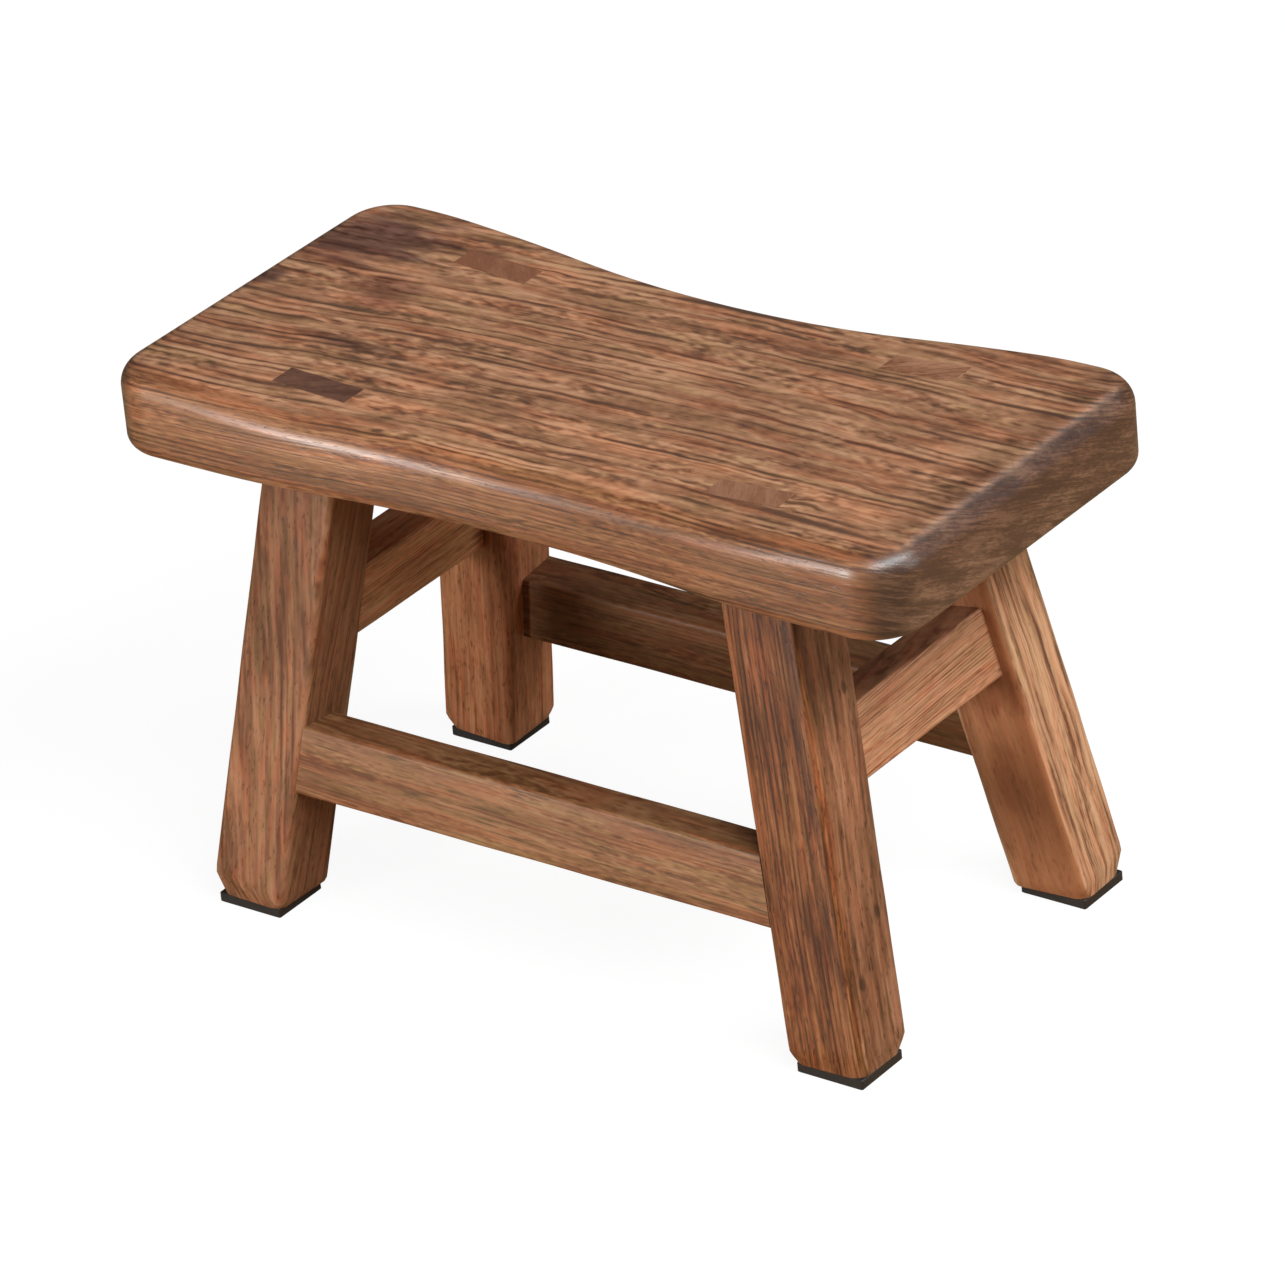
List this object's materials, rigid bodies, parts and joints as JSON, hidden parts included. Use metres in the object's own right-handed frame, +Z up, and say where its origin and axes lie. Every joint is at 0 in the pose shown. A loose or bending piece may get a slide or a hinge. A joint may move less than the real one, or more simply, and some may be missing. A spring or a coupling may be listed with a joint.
{
  "type": "wooden stool",
  "caption": "Low wooden stool with a dished seat, splayed legs tenoned through it, and stretchers on all sides.",
  "frame": {"origin": "on the floor under the middle of the seat, midway between the legs", "axes": "+X along the seat towards its right end in the picture, +Y across it towards the back, +Z up"},
  "size_m": [0.3, 0.1478, 0.185],
  "materials": {
    "seat_wood": "satin lacquer over dark open-grained wood",
    "leg_wood": "satin lacquer over dark open-grained wood",
    "stretcher_wood": "satin lacquer over dark open-grained wood",
    "pad_rubber": "matt black"
  },
  "bodies": {
    "root": {"seat": "seat_wood", "leg_front_left": "leg_wood", "leg_front_right": "leg_wood", "leg_back_left": "leg_wood", "leg_back_right": "leg_wood", "end_stretcher_left": "stretcher_wood", "end_stretcher_right": "stretcher_wood", "long_stretcher_front": "stretcher_wood", "long_stretcher_back": "stretcher_wood", "foot_pad_front_left": "pad_rubber", "foot_pad_front_right": "pad_rubber", "foot_pad_back_left": "pad_rubber", "foot_pad_back_right": "pad_rubber"}
  },
  "joints": []
}
